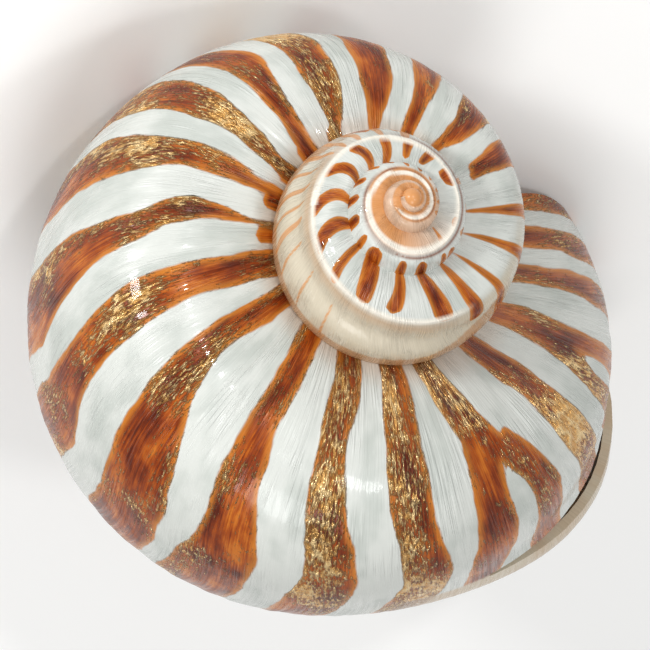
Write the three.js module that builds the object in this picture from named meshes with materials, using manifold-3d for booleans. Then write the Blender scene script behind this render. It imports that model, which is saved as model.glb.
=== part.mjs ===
// A sea shell: one tube of shell wall, coiled into a globe with a low spire, open at its mouth.
//
// The coil is worked out in its own frame, in millimetres: the apex is at the origin, the coiling
// axis is Z with the spire pointing up it, and the tube grows anticlockwise seen from the apex.
// `turn` counts quarter turns along the tube. The finished shell is then laid on its mouth side.

import * as THREE from "three";
import { mergeVertices } from "three/addons/utils/BufferGeometryUtils.js";
import Module from "manifold-3d";

// ---- how the tube grows ------------------------------------------------------------------
const GROWTH = 0.196; // natural log of the size gained in a quarter turn
const SLACK = { at: 4.0, width: 1.9, amount: -0.11 }; // the spire whorls lag behind the spiral
const SPURT = { at: 8.2, width: 1.2, amount: 0.137 }; // the body whorl swells beyond it
const DESCENT = { from: 9.0, amount: 0.32, power: 1.85 }; // the last turn drops away from them

// ---- the tube where turn = 0, mm -----------------------------------------------------------
const PATH_RADIUS = 3.54; // coiling axis to the middle of the tube
const PATH_DROP = 6.78; // apex to the middle of the tube, down the axis
const HALF_WIDTH = 3.28;
const HALF_HEIGHT = 3.77;
const SQUARENESS = 2.4; // 2 would be an ellipse

// ---- the shoulder keel round the spire, and the flared edge of the mouth --------------------
const KEEL = { angle: 50, width: 15, swell: 0.055, fades: 6.4 };
const FLARE = { angle: -10, width: 17, swell: 0.27, at: 9.74, spread: 0.32 };

// ---- where things start and stop, in quarter turns -----------------------------------------
const NUCLEUS_TURN = -8;
const LIP_TURN = 10.08;
const LIP_LEAN = 0.22; // the lip reaches this much further at the top than at the base
const CAVITY_TURN = 4.6; // the hollow is followed this far up the tube
const SLIT_TURN = 9.38; // back end of the slit in the outer edge of the mouth
const SLIT_MIDDLE = 4; // degrees round the section
const SLIT_HALF = 6; // half its width, in the same degrees
const SLIT_TIP = 0.08; // share of that width at its pointed back end
const SLIT_WIDENS = 2.6; // how soon it reaches its full width
const SLIT_CUT = [0.75, 1.3]; // depth of the cut, as shares of the section's radius

const WALL = 1.3; // wall thickness, mm
const WALL_GAIN = 1.2; // mm the wall thickens in the last quarter turn of the hollow
const OVERCUT = 0.4; // quarter turns by which the hollow is cut past the lip
const NUCLEUS_RADIUS = 1.25;
// The pillar on the axis, as pairs of radius and depth below the apex; its foot is the callus
// that plugs the navel.
const COLUMELLA = [[0, 1], [0.8, 1.1], [8.5, 18], [9.5, 31], [7, 39], [3.5, 43], [0, 44]];

// ---- how finely the tube is faceted ---------------------------------------------------------
const AROUND = 24; // points round a section
const SLIT_STEPS = 12;
const PER_TURN = 7; // rings in a quarter turn
const OVERLAP = 1 / PER_TURN; // quarter turns shared by one length of tube and the next

// ---- how the shell lies -------------------------------------------------------------------
const AXIS_ROLL = 89.06; // degrees the shell is first turned about its own axis
const AXIS_LEAN = -56.82; // degrees the axis then leans from the vertical
const FACING = 61.62; // degrees the lying shell is turned on the table, so the spire faces front

const rad = THREE.MathUtils.degToRad;
const hump = (x, { at, width, amount }) => amount * Math.exp(-(((x - at) / width) ** 2));

const size = (turn) => Math.exp(GROWTH * turn + hump(turn, SLACK) + hump(turn, SPURT));

function drop(turn) {
  const past = Math.max(0, turn - DESCENT.from);
  return PATH_DROP * (1 + DESCENT.amount * past ** DESCENT.power);
}

// How far the wall stands out beyond the plain section, as a share of the section's own radius.
function relief(turn, angle) {
  const around = (from) => THREE.MathUtils.euclideanModulo(angle - from + 180, 360) - 180;
  const young = 1 / (1 + Math.exp(4 * (turn - KEEL.fades)));
  const late = Math.exp(-(((turn - FLARE.at) / FLARE.spread) ** 2));
  const keel = KEEL.swell * young * Math.exp(-((around(KEEL.angle) / KEEL.width) ** 2));
  return 1 + keel + FLARE.swell * late * Math.exp(-((around(FLARE.angle) / FLARE.width) ** 2));
}

// A point of the tube: `angle` in degrees round the section, 0 pointing away from the axis and
// 90 towards the apex; `inset` mm in from the outside; `scale` grows the section on the spot.
function tubePoint(turn, angle, inset = 0, scale = 1) {
  const s = size(turn);
  const [c, h] = [Math.cos(rad(angle)), Math.sin(rad(angle))];
  const p = SQUARENESS;
  const reach = (Math.abs(c / HALF_WIDTH) ** p + Math.abs(h / HALF_HEIGHT) ** p) ** (-1 / p);
  const radius = (s * reach * relief(turn, angle) - inset) * scale;
  const r = s * PATH_RADIUS + radius * c;
  const z = -s * drop(turn) + radius * h;
  const azimuth = Math.PI * (1 + turn / 2);
  return [r * Math.cos(azimuth), r * Math.sin(azimuth), z];
}

// A closed solid from rings of equal length, with a fan over each end.
function ringSolid(rings) {
  const n = rings[0].length;
  const points = rings.flat();
  const middle = (ring) => [0, 1, 2].map((k) => ring.reduce((sum, q) => sum + q[k], 0) / n);
  points.push(middle(rings[0]), middle(rings.at(-1)));
  const [firstHub, lastHub] = [points.length - 2, points.length - 1];
  const faces = [];
  for (let j = 0; j < n; j++) {
    const k = (j + 1) % n;
    for (let i = 0; i + 1 < rings.length; i++) {
      const [a, b, c, d] = [i * n + j, i * n + k, (i + 1) * n + k, (i + 1) * n + j];
      faces.push(a, b, c, a, c, d);
    }
    const end = (rings.length - 1) * n;
    faces.push(firstHub, k, j, lastHub, end + j, end + k);
  }
  const geometry = new THREE.BufferGeometry();
  geometry.setAttribute("position", new THREE.Float32BufferAttribute(points.flat(), 3));
  geometry.setIndex(faces);
  return solid(geometry);
}

const wasm = await Module();
wasm.setup();

function solid(geometry) {
  geometry.deleteAttribute("normal");
  geometry.deleteAttribute("uv");
  const merged = mergeVertices(geometry, 1e-4);
  const vertProperties = new Float32Array(merged.getAttribute("position").array);
  const triVerts = new Uint32Array(merged.getIndex().array);
  const made = new wasm.Manifold(new wasm.Mesh({ numProp: 3, vertProperties, triVerts }));
  if (made.volume() > 0) return made;
  for (let i = 0; i < triVerts.length; i += 3) {
    [triVerts[i + 1], triVerts[i + 2]] = [triVerts[i + 2], triVerts[i + 1]];
  }
  return new wasm.Manifold(new wasm.Mesh({ numProp: 3, vertProperties, triVerts }));
}

// A length of tube. `lean` slants its far end; `inset` may change along it.
function tube(from, to, { around = AROUND, lean = 0, inset = () => 0 } = {}) {
  const steps = Math.round((to - from) * PER_TURN);
  const rings = [];
  for (let i = 0; i <= steps; i++) {
    const ring = [];
    for (let j = 0; j < around; j++) {
      const angle = (360 * j) / around;
      const slant = lean * Math.sin(rad(angle)) * (i / steps) ** 3;
      const turn = from + ((to - from) * i) / steps + slant;
      ring.push(tubePoint(turn, angle, inset(turn)));
    }
    rings.push(ring);
  }
  return ringSolid(rings);
}

// The slit that runs back from the lip along the widest part of the whorl.
function slit() {
  const [inner, outer] = SLIT_CUT;
  const end = LIP_TURN + 2 * LIP_LEAN;
  const rings = [];
  for (let i = 0; i <= SLIT_STEPS; i++) {
    const share = i / SLIT_STEPS;
    const turn = SLIT_TURN + (end - SLIT_TURN) * share;
    const half = SLIT_HALF * Math.min(1, SLIT_TIP + SLIT_WIDENS * share) ** 0.7;
    const across = [-half, 0, half].map((offset) => SLIT_MIDDLE + offset);
    rings.push([
      ...across.map((angle) => tubePoint(turn, angle, 0, outer)),
      ...across.toReversed().map((angle) => tubePoint(turn, angle, 0, inner)),
    ]);
  }
  return ringSolid(rings);
}

// The pillar that fills the middle of the coil.
function columella() {
  const profile = COLUMELLA.map(([r, depth]) => new THREE.Vector2(r, -depth));
  return solid(new THREE.LatheGeometry(profile, AROUND / 2).rotateX(Math.PI / 2));
}

function shellSolid() {
  const wall = () => WALL;
  const pinched = (turn) => WALL + WALL_GAIN * Math.max(0, CAVITY_TURN + 1 - turn);
  const nucleus = new THREE.IcosahedronGeometry(NUCLEUS_RADIUS, 1).translate(0, 0, -NUCLEUS_RADIUS);
  // From the mouth inwards: an older whorl stands inside the younger one, and its hollow cuts
  // away whatever wall of the younger one runs through it.
  return columella()
    .add(tube(7 - OVERLAP, LIP_TURN, { lean: LIP_LEAN }))
    .subtract(tube(7 - OVERLAP, LIP_TURN + OVERCUT, { lean: LIP_LEAN, inset: wall }))
    .subtract(slit())
    .add(tube(4 - OVERLAP, 7))
    .subtract(tube(CAVITY_TURN, 7 + OVERLAP / 2, { inset: pinched }))
    .add(tube(1 - OVERLAP, 4))
    .add(tube(-2 - OVERLAP, 1, { around: 16 }))
    .add(tube(-5 - OVERLAP, -2, { around: 12 }))
    .add(tube(NUCLEUS_TURN, -5, { around: 12 }))
    .add(solid(nucleus));
}

function geometryOf(made) {
  const { vertProperties, triVerts, numProp } = made.getMesh();
  const positions = [];
  for (let i = 0; i < vertProperties.length; i += numProp) {
    positions.push(vertProperties[i], vertProperties[i + 1], vertProperties[i + 2]);
  }
  const geometry = new THREE.BufferGeometry();
  geometry.setAttribute("position", new THREE.Float32BufferAttribute(positions, 3));
  geometry.setIndex([...triVerts]);
  geometry.computeVertexNormals();
  return geometry;
}

const geometry = geometryOf(shellSolid());
geometry.rotateZ(rad(AXIS_ROLL)).rotateY(rad(AXIS_LEAN)).rotateZ(rad(FACING));
geometry.computeBoundingBox();
const { min, max } = geometry.boundingBox;
geometry.translate(-(min.x + max.x) / 2, -(min.y + max.y) / 2, -min.z);

const shell = new THREE.Mesh(
  geometry,
  new THREE.MeshStandardMaterial({ color: 0xdccfb8, roughness: 0.25, metalness: 0 }),
);
shell.name = "shell";

const part = new THREE.Group();
part.name = "sea_shell";
part.add(shell);

export default part;
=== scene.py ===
"""The looks of a coiled, banded sea shell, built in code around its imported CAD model.

The coil is worked out in its own frame, in millimetres: apex at the origin, coiling axis Z with the
spire pointing up it, and the tube growing anticlockwise seen from the apex. `turn` counts quarter
turns along the tube, and `angle` goes round a section of it in degrees, with 0 pointing away from
the axis and 90 towards the apex. `Lie` then lays the shell on the table, in metres.
"""

import logging
import math
from dataclasses import dataclass, field
from enum import Enum, IntEnum

import bpy
import numpy as np
from mathutils import Matrix, Vector


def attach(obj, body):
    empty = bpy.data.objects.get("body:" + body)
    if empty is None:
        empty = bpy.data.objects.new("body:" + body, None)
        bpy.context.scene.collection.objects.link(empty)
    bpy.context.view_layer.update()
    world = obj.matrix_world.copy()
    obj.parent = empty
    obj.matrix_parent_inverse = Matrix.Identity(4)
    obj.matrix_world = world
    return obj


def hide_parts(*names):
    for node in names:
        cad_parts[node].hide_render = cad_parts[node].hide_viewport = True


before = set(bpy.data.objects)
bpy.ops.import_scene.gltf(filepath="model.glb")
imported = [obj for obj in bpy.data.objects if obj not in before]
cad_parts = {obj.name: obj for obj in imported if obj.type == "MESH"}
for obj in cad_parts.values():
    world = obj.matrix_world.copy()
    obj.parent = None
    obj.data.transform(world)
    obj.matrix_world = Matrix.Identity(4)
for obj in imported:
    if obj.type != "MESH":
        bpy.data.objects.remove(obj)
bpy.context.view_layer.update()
MM = 0.001
LOG = logging.getLogger("sea_shell")


# ---- the form ------------------------------------------------------------------------------


class Skin(IntEnum):
    """Which surface of the shell a face belongs to."""

    OUTSIDE = 0
    INSIDE = 1
    EDGE = 2
    PILLAR = 3
    NUCLEUS = 4


@dataclass(frozen=True)
class Hump:
    """A smooth rise and fall along the tube.

    Args:
        at: Turn of its middle.
        width: Its width, in quarter turns.
        amount: Its height.
    """

    at: float
    width: float
    amount: float

    def __call__(self, x: np.ndarray) -> np.ndarray:
        """Height at x."""
        return self.amount * np.exp(-(((x - self.at) / self.width) ** 2))


def wrapped(angle: np.ndarray) -> np.ndarray:
    """The same angle between -180 and 180 degrees."""
    return (angle + 180.0) % 360.0 - 180.0


def smooth(x: np.ndarray, low: float, high: float) -> np.ndarray:
    """A smooth step from 0 at low to 1 at high, either way round."""
    t = np.clip((x - low) / (high - low), 0.0, 1.0)
    return t * t * (3.0 - 2.0 * t)


def span(x: np.ndarray, rise: tuple[float, float], fall: tuple[float, float]) -> np.ndarray:
    """1 between two smooth steps, a rise and a fall, and 0 outside them."""
    return smooth(x, *rise) * smooth(x, *fall)


@dataclass(frozen=True)
class Coil:
    """How the tube of the shell grows round its axis. Lengths are in millimetres."""

    growth: float = 0.196
    slack: Hump = Hump(4.0, 1.9, -0.11)
    spurt: Hump = Hump(8.2, 1.2, 0.137)
    descent_from: float = 9.0
    descent_amount: float = 0.32
    descent_power: float = 1.85
    path_radius: float = 3.54
    path_drop: float = 6.78
    half_width: float = 3.28
    half_height: float = 3.77
    squareness: float = 2.4
    keel_angle: float = 50.0
    keel_width: float = 15.0
    keel_swell: float = 0.055
    keel_fades: float = 6.4
    flare_angle: float = -10.0
    flare_width: float = 17.0
    flare: Hump = Hump(9.74, 0.32, 0.27)
    lip_turn: float = 10.08
    lip_lean: float = 0.22

    def size(self, turn: np.ndarray) -> np.ndarray:
        """Size of the section at a turn, as a multiple of its size at turn 0."""
        return np.exp(self.growth * turn + self.slack(turn) + self.spurt(turn))

    def drop(self, turn: np.ndarray) -> np.ndarray:
        """Depth of the tube's middle below the apex at a turn, before scaling."""
        past = np.maximum(0.0, turn - self.descent_from)
        return self.path_drop * (1.0 + self.descent_amount * past**self.descent_power)

    def relief(self, turn: np.ndarray, angle: np.ndarray) -> np.ndarray:
        """The wall's radius, as a multiple of the plain section's.

        Args:
            turn: Quarter turns along the tube.
            angle: Degrees round the section.

        Returns:
            1 on the plain section, more on the keel and the flare.
        """
        young = 1.0 / (1.0 + np.exp(4.0 * (turn - self.keel_fades)))
        keel = np.exp(-((wrapped(angle - self.keel_angle) / self.keel_width) ** 2))
        flare = np.exp(-((wrapped(angle - self.flare_angle) / self.flare_width) ** 2))
        return 1.0 + self.keel_swell * young * keel + self.flare(turn) * flare

    def point(
        self, turn: np.ndarray, angle: np.ndarray, inset: np.ndarray, scale: np.ndarray
    ) -> np.ndarray:
        """Points of the tube in the coil's frame.

        Args:
            turn: Quarter turns along the tube.
            angle: Degrees round the section.
            inset: Millimetres in from the plain outside.
            scale: Growth of the section on the spot.

        Returns:
            Points with their coordinates in the last axis, in millimetres.
        """
        s = self.size(turn)
        c, h = np.cos(np.radians(angle)), np.sin(np.radians(angle))
        p = self.squareness
        reach = (np.abs(c / self.half_width) ** p + np.abs(h / self.half_height) ** p) ** (-1 / p)
        radius = (s * reach * self.relief(turn, angle) - inset) * scale
        r = s * self.path_radius + radius * c
        z = -s * self.drop(turn) + radius * h
        azimuth = np.pi * (1.0 + turn / 2.0)
        return np.stack([r * np.cos(azimuth), r * np.sin(azimuth), z], axis=-1)

    def girth(self, turn: np.ndarray, angle: np.ndarray) -> np.ndarray:
        """Millimetres along the surface for one quarter turn, at a place on it."""
        c = np.cos(np.radians(angle))
        return self.size(turn) * (self.path_radius + self.half_width * c) * np.pi / 2.0


@dataclass(frozen=True)
class Lie:
    """How the shell lies on the table: roll about its axis, lean, facing, then a shift in mm."""

    roll: float = 89.06
    lean: float = -56.82
    facing: float = 61.62
    shift: tuple[float, float, float] = (-16.5154, -38.8822, 44.0066)

    def turned(self) -> np.ndarray:
        """Rotation from the coil's frame to the table's.

        Returns:
            A 3 x 3 matrix.
        """
        r = Matrix.Rotation
        m = (
            r(math.radians(self.facing), 3, "Z")
            @ r(math.radians(self.lean), 3, "Y")
            @ r(math.radians(self.roll), 3, "Z")
        )
        return np.array(m)

    def place(self, points: np.ndarray) -> np.ndarray:
        """Points of the coil's frame in the table's, in metres."""
        return (points @ self.turned().T + np.array(self.shift)) * MM


@dataclass(frozen=True)
class GrowthRidges:
    """Ridges and threads that run across the tube wherever its lip once stood.

    Args:
        height: Height of the main ridges, mm, where the section's size is `full`.
        full: Section size at which the ridges have their full height.
        spacings: Distances between ridges of each order, as shares of a quarter turn.
        lean: Quarter turns by which a ridge falls back from the shoulder to the base.
    """

    height: float = 0.055
    full: float = 7.0
    spacings: tuple[float, ...] = (0.151, 0.0631, 0.0417, 0.0273)
    lean: float = 0.12

    def line(self, turn: np.ndarray, angle: np.ndarray) -> np.ndarray:
        """Turn at which the ridge through a place leaves the shoulder."""
        return turn - self.lean * smooth(angle, 70.0, -20.0)

    def __call__(self, coil: Coil, turn: np.ndarray, angle: np.ndarray) -> np.ndarray:
        """Height of the ridges.

        Args:
            coil: The shell's coil.
            turn: Quarter turns along the tube.
            angle: Degrees round the section.

        Returns:
            Millimetres out from the plain wall.
        """
        line = self.line(turn, angle)
        out = np.zeros(np.broadcast(turn, angle).shape)
        for order, spacing in enumerate(self.spacings):
            phase = 2.0 * np.pi * line / spacing + 1.7 * order
            drift = 1.9 * np.sin(3.1 * line + order) + 0.8 * np.sin(np.radians(angle) * 2.0 + order)
            patch = 0.55 + 0.45 * np.sin(1.3 * line * (order + 2) + np.radians(angle) * 1.6)
            out += patch * np.sin(phase + drift) / (1.0 + 0.35 * order)
        return self.height * np.minimum(1.0, coil.size(turn) / self.full) * out


@dataclass(frozen=True)
class KeelThread:
    """The sharp white thread on the spire's shoulder, which has a seam groove just below it.

    Args:
        height: Height of the thread in mm where the section's size is 2.
        width: Half width of the thread, degrees of the section.
        starts: Turn at which it has come in.
        ends: Turn by which it has faded out.
    """

    height: float = 0.30
    width: float = 3.0
    starts: float = -3.2
    ends: float = 5.9

    def angle(self, turn: np.ndarray) -> np.ndarray:
        """Where the thread runs, degrees round the section."""
        return np.interp(turn, [-4.0, -1.0, 0.0, 1.0, 3.0, 4.2, 6.0], [76, 75, 66, 64, 62, 57, 58])

    def amount(self, turn: np.ndarray, angle: np.ndarray) -> np.ndarray:
        """1 on the thread's crest, falling to 0 at its sides and its end."""
        on = smooth(turn, self.ends, self.ends - 0.9) * smooth(turn, self.starts - 0.8, self.starts)
        return on * np.exp(-(((angle - self.angle(turn)) / self.width) ** 2))

    def __call__(self, coil: Coil, turn: np.ndarray, angle: np.ndarray) -> np.ndarray:
        """Height of the thread in mm."""
        share = 0.5 * np.minimum(2.6, coil.size(turn))
        return self.height * share * self.amount(turn, angle)


@dataclass(frozen=True)
class Undercut:
    """The hollowed wall under the spire's shoulder, as a share of the section's size in mm."""

    depth: float = 0.55
    angle: float = 36.0
    width: float = 15.0
    starts: float = 3.1
    ends: float = 6.0

    def __call__(self, coil: Coil, turn: np.ndarray, angle: np.ndarray) -> np.ndarray:
        """Height of the wall in mm, below zero where it is hollowed."""
        on = smooth(turn, self.starts, self.starts + 0.8) * smooth(turn, self.ends, self.ends - 0.9)
        return -self.depth * coil.size(turn) * on * np.exp(-(((angle - self.angle) / self.width) ** 2))


@dataclass
class Rings:
    """A closed solid made of rings of equal length, with a fan over each end.

    Args:
        points: Ring points in the coil's frame, shape (rings, around, 3).
        marks: For each ring and each of the around + 1 columns, turn, angle and skin.
        cap: Skin of the two ends.
    """

    points: np.ndarray
    marks: np.ndarray
    cap: Skin

    def build(self, name: str, lie: Lie) -> bpy.types.Object:
        """Makes the solid, with its marks in a corner attribute called coil.

        Args:
            name: Name of the object.
            lie: How it lies on the table.

        Returns:
            The object.
        """
        rings, around, _ = self.points.shape
        ids = np.arange(rings * around).reshape(rings, around)
        nxt = np.roll(ids, -1, axis=1)
        quads = np.stack([ids[:-1], nxt[:-1], nxt[1:], ids[1:]], axis=-1).reshape(-1, 4)
        m = self.marks
        corners = np.stack([m[:-1, :-1], m[:-1, 1:], m[1:, 1:], m[1:, :-1]], axis=2)
        hubs = self.points[[0, -1]].mean(axis=1)
        first, last = rings * around, rings * around + 1
        fans, fan_marks = [], []
        for hub, row, ids_row, flip in ((first, 0, 0, True), (last, -1, -1, False)):
            a, b = ids[ids_row], nxt[ids_row]
            pair = (b, a) if flip else (a, b)
            fans.append(np.stack([np.full(around, hub), *pair], axis=-1))
            cap = np.stack([m[row, :-1], m[row, :-1], m[row, 1:]], axis=1).copy()
            if flip:
                cap = cap[:, [0, 2, 1]]
            cap[..., 2] = float(self.cap)
            fan_marks.append(cap)
        verts = lie.place(np.concatenate([self.points.reshape(-1, 3), hubs]))
        faces = [*map(tuple, quads), *map(tuple, np.concatenate(fans))]
        mesh = bpy.data.meshes.new(name)
        mesh.from_pydata(verts.tolist(), [], [tuple(map(int, f)) for f in faces])
        coil = np.concatenate([corners.reshape(-1, 3), *[f.reshape(-1, 3) for f in fan_marks]])
        attribute = mesh.attributes.new("coil", "FLOAT_VECTOR", "CORNER")
        attribute.data.foreach_set("vector", coil.astype(np.float32).ravel())
        made = bpy.data.objects.new(name, mesh)
        bpy.context.scene.collection.objects.link(made)
        if signed_volume(mesh) < 0.0:
            mesh.flip_normals()
        return made


def signed_volume(mesh: bpy.types.Mesh) -> float:
    """Volume inside a closed mesh.

    Args:
        mesh: The mesh.

    Returns:
        Cubic metres, below zero if its faces look inwards.
    """
    mesh.calc_loop_triangles()
    co = np.zeros(len(mesh.vertices) * 3, np.float32)
    mesh.vertices.foreach_get("co", co)
    tri = np.zeros(len(mesh.loop_triangles) * 3, np.int32)
    mesh.loop_triangles.foreach_get("vertices", tri)
    a, b, c = np.moveaxis(co.reshape(-1, 3)[tri.reshape(-1, 3)], 1, 0)
    return float(np.einsum("ij,ij->i", a, np.cross(b, c)).sum() / 6.0)


@dataclass
class SeaShell:
    """The whole shell, one grown piece: spire, body whorl, slit mouth and hollow.

    Args:
        coil: How the tube grows.
        lie: How the shell lies.
        ridges: Its growth ridges.
        thread: The thread on its shoulder.
        undercut: The hollowed wall under that shoulder.
        wall: Thickness of the wall, mm.
        wall_gain: Millimetres the wall thickens in the last quarter turn of the hollow.
        overlap: Quarter turns shared by one length of tube and the next.
        overcut: Quarter turns by which the hollow is cut past the lip.
        nucleus_turn: Turn at which the tube begins.
        nucleus_radius: Radius of the bead there, mm.
        cavity_turn: How far up the tube the hollow goes.
        slit_turn: Turn of the slit's back end.
        slit_middle: Angle of its middle, degrees of the section.
        slit_half: Half its width, in the same degrees.
        slit_tip: Share of that width at its pointed back end.
        slit_widens: How soon it reaches its full width.
        slit_cut: Depth of the cut, as shares of the section's radius.
        pillar: Radius and depth below the apex of the pillar in the coil, mm.
        crease_degrees: Bend above which an edge is sharp.
    """

    coil: Coil = field(default_factory=Coil)
    lie: Lie = field(default_factory=Lie)
    ridges: GrowthRidges = field(default_factory=GrowthRidges)
    thread: KeelThread = field(default_factory=KeelThread)
    undercut: Undercut = field(default_factory=Undercut)
    wall: float = 1.3
    wall_gain: float = 1.2
    overlap: float = 1.0 / 7.0
    overcut: float = 0.4
    nucleus_turn: float = -8.0
    nucleus_radius: float = 1.25
    cavity_turn: float = 4.6
    slit_turn: float = 9.38
    slit_middle: float = 4.0
    slit_half: float = 6.0
    slit_tip: float = 0.08
    slit_widens: float = 2.6
    slit_cut: tuple[float, float] = (0.75, 1.3)
    pillar: tuple[tuple[float, float], ...] = (
        (0.8, 1.1),
        (8.5, 18.0),
        (9.5, 31.0),
        (7.0, 39.0),
        (3.5, 43.0),
    )
    crease_degrees: float = 38.0

    def tube(
        self,
        name: str,
        start: float,
        end: float,
        per_turn: int,
        around: int,
        lean: float = 0.0,
        skin: Skin = Skin.OUTSIDE,
    ) -> bpy.types.Object:
        """A length of the tube, or of the hollow in it.

        Args:
            name: Name of the object.
            start: Turn of its first ring.
            end: Turn of its last ring.
            per_turn: Rings in a quarter turn.
            around: Points round a section.
            lean: Slant of its far end, quarter turns.
            skin: OUTSIDE for the tube, INSIDE for the hollow.

        Returns:
            The closed solid.
        """
        steps = round((end - start) * per_turn)
        share = np.linspace(0.0, 1.0, steps + 1)[:, None]
        angle = np.linspace(-180.0, 180.0, around + 1)[None, :]
        turn = start + (end - start) * share + lean * np.sin(np.radians(angle)) * share**3
        if skin is Skin.OUTSIDE:
            reliefs = (self.ridges, self.thread, self.undercut)
            inset = -sum(relief(self.coil, turn, angle) for relief in reliefs)
        else:
            inset = self.wall + self.wall_gain * np.maximum(0.0, self.cavity_turn + 1.0 - turn)
        angle = np.broadcast_to(angle, turn.shape)
        points = self.coil.point(turn, angle, inset, np.ones(1))
        marks = np.stack([turn, angle, np.full(turn.shape, float(skin))], axis=-1)
        return Rings(points[:, :-1], marks, Skin.EDGE).build(name, self.lie)

    def slit(self) -> bpy.types.Object:
        """The cutter for the slit that runs back from the lip at the widest part of the whorl.

        Returns:
            A closed solid.
        """
        steps, across = 60, 9
        end = self.coil.lip_turn + 2.0 * self.coil.lip_lean
        share = np.linspace(0.0, 1.0, steps + 1)
        half = self.slit_half * np.minimum(1.0, self.slit_tip + self.slit_widens * share) ** 0.7
        side = np.linspace(-1.0, 1.0, across)
        angle = self.slit_middle + half[:, None] * np.concatenate([side, side[::-1]])[None, :]
        inner, outer = self.slit_cut
        scale = np.concatenate([np.full(across, outer), np.full(across, inner)])[None, :]
        turn = np.broadcast_to((self.slit_turn + (end - self.slit_turn) * share)[:, None], angle.shape)
        points = self.coil.point(turn, angle, np.zeros(1), scale)
        marks = np.stack([turn, angle, np.full(turn.shape, float(Skin.EDGE))], axis=-1)
        marks = np.concatenate([marks, marks[:, :1]], axis=1)
        return Rings(points, marks, Skin.EDGE).build("slit", self.lie)

    def lathe(self, name: str, profile: np.ndarray, around: int, skin: Skin) -> bpy.types.Object:
        """A solid turned about the coiling axis.

        Args:
            name: Name of the object.
            profile: Rows of radius and depth below the apex, mm, from the top down.
            around: Points round it.
            skin: Skin of its faces.

        Returns:
            The closed solid.
        """
        azimuth = np.linspace(0.0, 2.0 * np.pi, around, endpoint=False)[None, :]
        r, depth = profile[:, :1], profile[:, 1:]
        points = np.stack(
            [r * np.cos(azimuth), r * np.sin(azimuth), -depth + 0.0 * azimuth], axis=-1
        )
        marks = np.zeros((len(profile), around + 1, 3))
        marks[..., 0], marks[..., 2] = self.nucleus_turn, float(skin)
        return Rings(points, marks, skin).build(name, self.lie)

    def nucleus(self) -> bpy.types.Object:
        """The bead that the shell began as.

        Returns:
            A closed solid.
        """
        pole = 0.08  # radians left to the fan at each pole
        bow = np.linspace(pole, np.pi - pole, 20)
        r = self.nucleus_radius
        profile = np.stack([r * np.sin(bow), r - r * np.cos(bow)], axis=-1)
        return self.lathe("nucleus", profile, 40, Skin.NUCLEUS)

    def build(self) -> bpy.types.Object:
        """Builds the shell as one closed mesh, which stands for the CAD node.

        Returns:
            The shell.
        """
        lip, lean, o = self.coil.lip_turn, self.coil.lip_lean, self.overlap
        inside = Skin.INSIDE
        body = self.lathe("shell_body", np.array(self.pillar), 96, Skin.PILLAR)
        union, cut = "UNION", "DIFFERENCE"
        for part, operation in (
            (self.tube("last_turn", 7 - o, lip, 105, 128, lean), union),
            (self.tube("last_hollow", 7 - o, lip + self.overcut, 30, 72, lean, inside), cut),
            (self.slit(), cut),
            (self.tube("shoulder_turn", 4 - o, 7, 80, 112), union),
            (self.tube("inner_hollow", self.cavity_turn, 7 + o / 2, 24, 64, 0.0, inside), cut),
            (self.tube("upper_turn", 1 - o, 4, 60, 96), union),
            (self.tube("top_turn", -2 - o, 1, 40, 72), union),
            (self.tube("tip_turn", -5 - o, -2, 30, 48), union),
            (self.tube("first_turn", self.nucleus_turn, -5, 24, 40), union),
            (self.nucleus(), union),
        ):
            self.combine(body, part, operation)
        body.name = "sea_shell"
        mesh = body.data
        mesh.shade_smooth()
        mesh.set_sharp_from_angle(angle=math.radians(self.crease_degrees))
        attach(body, "root")
        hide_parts("shell")
        return body

    def dress(self, body: bpy.types.Object, effects: "Effects") -> None:
        """Writes the markings on the shell and gives it its two finishes.

        Args:
            body: The shell.
            effects: The shared effects.
        """
        Markings(self.coil, self.thread, self.ridges).write(body)
        body.data.materials.clear()
        body.data.materials.append(BandedFinish("banded_nacre", effects).build())
        body.data.materials.append(LiningFinish("mouth_lining", effects).build())

    @staticmethod
    def combine(body: bpy.types.Object, part: bpy.types.Object, operation: str) -> None:
        """Joins a part to the body, or cuts it away, and removes the part.

        Args:
            body: The body, whose mesh is replaced.
            part: The part.
            operation: UNION or DIFFERENCE.
        """
        modifier = body.modifiers.new("combine", "BOOLEAN")
        modifier.solver, modifier.operation, modifier.object = "MANIFOLD", operation, part
        graph = bpy.context.evaluated_depsgraph_get()
        graph.update()
        made = bpy.data.meshes.new_from_object(body.evaluated_get(graph))
        body.modifiers.clear()
        old, body.data = body.data, made
        bpy.data.meshes.remove(old)
        bpy.data.objects.remove(part)
        LOG.debug("%s: %d vertices", operation, len(made.vertices))


# ---- the markings ---------------------------------------------------------------------------

STATIONS = (100.0, 76.0, 58.0, 30.0, 0.0)
BAND_END = 130.0  # degrees round the section that count as a quarter turn at a band's ends
BAR_END = 60.0  # the same for a bar


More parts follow.
